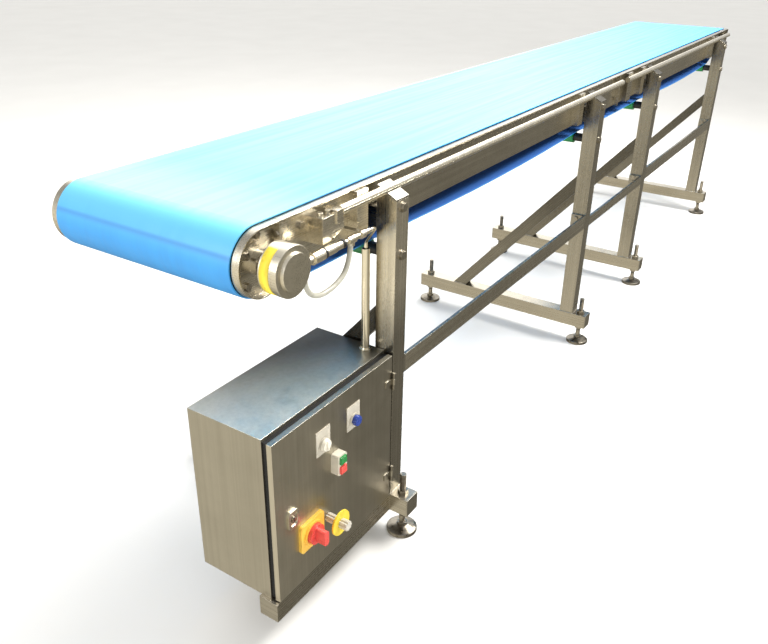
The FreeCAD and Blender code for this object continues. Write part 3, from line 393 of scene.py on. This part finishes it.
FINISHES = [
    (steel_first_leg_painted_light, ("leg_1",)),
    (steel_z, ("leg_2", "leg_3", "leg_4")),
    (steel_y, ("cross_members",)),
    (steel_beam, ("base_beams",)),
    (steel_brace, ("braces",)),
    (steel_cap, ("tube_end_plates",)),
    (steel_x, ("stretchers", "side_plate_near_1", "side_plate_near_2", "side_plate_far_1",
               "side_plate_far_2", "nose_plate_near", "nose_plate_far", "tail_plates", "slider_beds",
               "rail_brackets")),
    (steel_box, ("box_body",)),
    (steel_door, ("box_door",)),
    (steel_hinge, ("door_hinges",)),
    (steel_sheet, ("mounting_plate",)),
    (steel_bright, ("side_rails",)),
    (steel_pipe, ("conduits", "cable_glands")),
    (steel_bolt, ("frame_bolts", "foot_nuts", "door_lock")),
    (steel_shell, ("junction_box", "junction_lid", "lock_plate")),
    (stud_steel(), tuple(f"foot_{side}_{n}" for side in ("near", "far") for n in range(1, 5))),
    (drum_steel, ("drive_drum", "tail_drum", "drum_axles")),
    (belt_material(), ("belt",)),
    (moulded("roller_polyethylene", (0.012, 0.235, 0.060), 0.36, 0.0010, 0.0001),
     tuple(f"return_roller_{n}" for n in range(1, 5))),
    (moulded("black_polyamide", (0.014, 0.013, 0.012), 0.42), ("roller_shafts",)),
    (moulded("gasket_foam", (0.010, 0.010, 0.010), 0.75, 0.0012, 0.0002, 0.1), ("door_gasket",)),
    (moulded("legend_laminate", (0.60, 0.56, 0.47), 0.40, wear=0.15), ("legend_plates",)),
    (moulded("knob_cream", (0.90, 0.86, 0.74), 0.34, wear=0.15), ("white_knob",)),
    (moulded("knob_grey", (0.66, 0.63, 0.55), 0.34), ("ribbed_knob",)),
    (moulded("button_blue_lens", (0.010, 0.045, 0.320), 0.24, coat=0.4), ("blue_button",)),
    (moulded("button_green_lens", (0.012, 0.260, 0.055), 0.24, coat=0.4), ("start_button",)),
    (moulded("button_red_lens", (0.85, 0.085, 0.070), 0.28, coat=0.4), ("stop_button", "isolator_handle")),
    (moulded("plate_yellow_plastic", (1.0, 0.62, 0.085), 0.38, wear=0.15), ("isolator_plate",)),
    (moulded("collar_yellow_plastic", (0.92, 0.70, 0.050), 0.34, wear=0.15), ("knob_collar",)),
    (moulded("housing_cream_plastic", (0.74, 0.70, 0.58), 0.38, wear=0.15), ("button_housing",)),
]
for finish, nodes in FINISHES:
    for node in nodes:
        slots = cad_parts[node].data.materials
        for index in range(len(slots)):
            slots[index] = finish


# ---------------------------------------------------------------- loop cable

LOOP_ROUTE = [(-1.7895, -0.290, 0.848), (-1.7895, -0.292, 0.804), (-1.7545, -0.295, 0.778),
              (-1.6965, -0.295, 0.782), (-1.6495, -0.293, 0.804), (-1.6375, -0.290, 0.848)]
CABLE_DIAMETER = 0.011

cable_curve = bpy.data.curves.new("loop_cable_line", "CURVE")
cable_curve.dimensions = "3D"
cable_curve.resolution_u = 24
cable_curve.bevel_depth = CABLE_DIAMETER / 2
cable_curve.bevel_resolution = 8
spline = cable_curve.splines.new("NURBS")
spline.points.add(len(LOOP_ROUTE) - 1)
for control, point in zip(spline.points, LOOP_ROUTE):
    control.co = (*point, 1.0)
spline.order_u = 3
spline.use_endpoint_u = True
cable = bpy.data.objects.new("loop_cable_line", cable_curve)
scene.collection.objects.link(cable)
cable_curve.materials.append(moulded("cable_jacket", (0.50, 0.49, 0.42), 0.30, 0.0010, 0.00008, 0.0))
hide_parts("loop_cable")
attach(cable, "frame")


# ---------------------------------------------------------------- added finish details

def add_piece(name, mesh, material):
    """A smooth piece that rides on the frame body."""
    piece = bpy.data.objects.new(name, mesh)
    scene.collection.objects.link(piece)
    mesh.materials.append(material)
    for face in mesh.polygons:
        face.use_smooth = True
    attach(piece, "frame")


def ring_of_verts(bm, centre, axis, radius, sides):
    """Vertices in a circle round centre, square to the unit vector axis."""
    across = axis.cross(Z_AXIS if abs(axis.z) < 0.9 else X_AXIS).normalized()
    up = axis.cross(across)
    ring = []
    for k in range(sides):
        turn = 2 * math.pi * k / sides
        ring.append(bm.verts.new(centre + radius * (math.cos(turn) * across + math.sin(turn) * up)))
    return ring


def join_rings(bm, ring, following):
    """Faces all round between two rings with the same number of vertices."""
    count = len(ring)
    for k in range(count):
        after = (k + 1) % count
        bm.faces.new((ring[k], ring[after], following[after], following[k]))


def cap_and_join(bm, rings):
    """A capped skin over a row of rings."""
    for ring, following in zip(rings, rings[1:]):
        join_rings(bm, ring, following)
    bm.faces.new(rings[0][::-1])
    bm.faces.new(rings[-1])


WELD_RADIUS = 0.0024
WELD_RIPPLE = 0.0030
WELD_SIDES = 8


def weld_bead(bm, start, end):
    """A weld run from start to end: a low bead with one ripple each few millimetres."""
    start, end = Vector(start), Vector(end)
    steps = max(8, int((end - start).length / WELD_RIPPLE) * 4)
    direction = (end - start).normalized()
    rings = []
    for k in range(steps + 1):
        swell = 0.86 + 0.14 * abs(math.sin(math.pi * k / 4))
        radius = WELD_RADIUS * (swell if 0 < k < steps else 0.5)
        rings.append(ring_of_verts(bm, start.lerp(end, k / steps), direction, radius, WELD_SIDES))
    cap_and_join(bm, rings)


def rectangle_weld(bm, low, high, z):
    """Weld runs round an upright tube's foot at height z."""
    corners = [(low[0], low[1], z), (high[0], low[1], z), (high[0], high[1], z), (low[0], high[1], z)]
    for index in range(4):
        weld_bead(bm, corners[index], corners[(index + 1) % 4])


def turned_ring(bm, centre, profile, sides=64):
    """A ring turned about X through centre: profile is (distance along, radius) pairs, closed."""
    rings = [ring_of_verts(bm, centre + along * X_AXIS, X_AXIS, radius, sides) for along, radius in profile]
    for index, ring in enumerate(rings):
        join_rings(bm, ring, rings[(index + 1) % len(rings)])


def finish_mesh(bm, name):
    """The bmesh as a named mesh, with its faces turned outwards."""
    bmesh.ops.recalc_face_normals(bm, faces=bm.faces)
    mesh = bpy.data.meshes.new(name)
    bm.to_mesh(mesh)
    bm.free()
    return mesh


BRACE_WIDTH = 0.040
UPPER_BRACE_WELD = 1.55 * BRACE_WIDTH       # run length down the leg
LOWER_BRACE_WELD = 1.35 * BRACE_WIDTH       # run length along the beam

weld_material = brushed("weld_metal", "y", *FASTENER, (0.30, 0.42))
beam_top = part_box("base_beams")[1][2]
brace_back, brace_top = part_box("braces")[1][1:]

bm = bmesh.new()
for number in range(1, 5):
    leg_low, leg_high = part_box(f"leg_{number}")
    rectangle_weld(bm, leg_low, leg_high, beam_top)
    middle_x = (leg_low[0] + leg_high[0]) / 2
    for side in (-1, 1):
        x = middle_x + side * BRACE_WIDTH / 2
        weld_bead(bm, (x, leg_high[1], brace_top), (x, leg_high[1], brace_top - UPPER_BRACE_WELD))
        weld_bead(bm, (x, brace_back, beam_top), (x, brace_back - LOWER_BRACE_WELD, beam_top))
add_piece("frame_welds", finish_mesh(bm, "frame_welds"), weld_material)


# Yellow wrap round the drive-end side of the junction box.
BAND_ANGLES = (112, 262)        # degrees round the box, from +X towards +Z
BAND_THICKNESS = 0.0006
BAND_GAP = 0.00005              # between the box and the back of the wrap
BAND_MARGINS = (0.0055, 0.0035)     # bare steel left at the lid's side and at the nose plate's side
BAND_STEPS = 60

box_low, box_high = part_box("junction_box")
box_radius = (box_high[2] - box_low[2]) / 2
box_middle = Vector(((box_low[0] + box_high[0]) / 2, 0, (box_low[2] + box_high[2]) / 2))
band_near = box_low[1] + BAND_MARGINS[0]
band_far = box_high[1] - BAND_MARGINS[1]
band_inner = box_radius + BAND_GAP
band_outer = box_radius + BAND_THICKNESS
band_section = [(band_inner, band_near), (band_outer, band_near),
                (band_outer, band_far), (band_inner, band_far)]

bm = bmesh.new()
rings = []
for step in range(BAND_STEPS + 1):
    turn = math.radians(BAND_ANGLES[0] + (BAND_ANGLES[1] - BAND_ANGLES[0]) * step / BAND_STEPS)
    across, up = math.cos(turn), math.sin(turn)
    corners = [box_middle + Vector((across * radius, y, up * radius)) for radius, y in band_section]
    rings.append([bm.verts.new(corner) for corner in corners])
cap_and_join(bm, rings)
band_material = moulded("band_yellow_vinyl", (1.0, 0.80, 0.075), 0.30, 0.0012, 0.00005,
                        wear=0.1, specular=0.2)
add_piece("junction_band", finish_mesh(bm, "junction_band"), band_material)


# Black rings on the cable fittings, as (name, x, scale of the radii).
FITTINGS_START = Vector((0, -0.290, 0.860))     # a point on the line of fittings, which runs along X
RING_PROFILE = [(-0.0040, 0.0080), (-0.0040, 0.0105), (-0.0028, 0.0116),
                (0.0028, 0.0116), (0.0040, 0.0105), (0.0040, 0.0080)]
CABLE_RINGS = [("cable_ring_near", -1.7275, 1.0), ("cable_ring_tee", -1.6655, 0.82)]

ring_material = moulded("ring_black_rubber", (0.012, 0.011, 0.010), 0.45)
for name, x, scale in CABLE_RINGS:
    bm = bmesh.new()
    profile = [(along, scale * radius) for along, radius in RING_PROFILE]
    turned_ring(bm, FITTINGS_START + x * X_AXIS, profile)
    add_piece(name, finish_mesh(bm, name), ring_material)


# ---------------------------------------------------------------- floor and light

FLOOR_REACH = 40

corners = [(-FLOOR_REACH, -FLOOR_REACH, 0), (FLOOR_REACH, -FLOOR_REACH, 0),
           (FLOOR_REACH, FLOOR_REACH, 0), (-FLOOR_REACH, FLOOR_REACH, 0)]
floor_mesh = bpy.data.meshes.new("floor")
floor_mesh.from_pydata(corners, [], [(0, 1, 2, 3)])
floor = bpy.data.objects.new("floor", floor_mesh)
scene.collection.objects.link(floor)
floor_graph = Graph("floor_pale")
floor_tone = floor_graph.noise((0.5, 0.5, 0.5), 3.0)
floor_colour = floor_graph.ramp(floor_tone, (0.3, (0.83, 0.83, 0.82)), (0.7, (0.86, 0.86, 0.85)))
floor_graph.set(Base_Color=floor_colour, Roughness=0.9)
floor_mesh.materials.append(floor_graph.material)
floor.visible_glossy = False

ROOM_DIM, ROOM_LIT = 0.27, 1.05
SKY_DIM, SKY_WINDOW = 0.72, 3.1
ROOM_COLOUR = (1.0, 0.93, 0.76)
SKY_COLOUR = (1.0, 0.985, 0.95)
WINDOW = Vector((0.69, 0.58, 0.42)).normalized()    # direction of the bright end of the studio

world = bpy.data.worlds.new("studio")
scene.world = world
world.use_nodes = True
studio = Nodes(world.node_tree)
direction = studio.add("ShaderNodeTexCoord").outputs["Generated"]
towards_x, _, towards_z = studio.parts(direction)

# Below the horizon the room is warm and dim, brighter towards the drive end. Above it a window lights
# the far end.
room = studio.steps(towards_x, 0.3, -0.8, ROOM_DIM, ROOM_LIT)
sky = studio.steps(studio.dot(direction, WINDOW), 0.80, 1.0, SKY_DIM, SKY_WINDOW)
above = studio.steps(towards_z, -0.04, 0.10)
strength = studio.math("MULTIPLY_ADD", above, studio.math("SUBTRACT", sky, room), room)
background = world.node_tree.nodes["Background"]
studio.feed(background.inputs["Strength"], strength)
studio.feed(background.inputs["Color"], studio.mix(above, ROOM_COLOUR, SKY_COLOUR))


def soft_light(name, location, target, size, energy, colour):
    """A rectangular lamp at location that faces target and isn't seen itself."""
    data = bpy.data.lights.new(name, "AREA")
    data.shape = "RECTANGLE"
    data.size, data.size_y = size
    data.energy = energy
    data.color = colour
    lamp = bpy.data.objects.new(name, data)
    lamp.location = location
    lamp.rotation_euler = (Vector(target) - Vector(location)).to_track_quat("-Z", "Y").to_euler()
    lamp.visible_camera = False
    scene.collection.objects.link(lamp)


soft_light("overhead", (0.9, -0.85, 3.3), (-0.9, -0.1, 0.5), (3.6, 1.2), 330, (1.0, 0.97, 0.92))
soft_light("left_key", (-4.6, 1.0, 2.2), (-1.2, 0, 0.7), (1.4, 1.8), 50, (1.0, 0.98, 0.95))
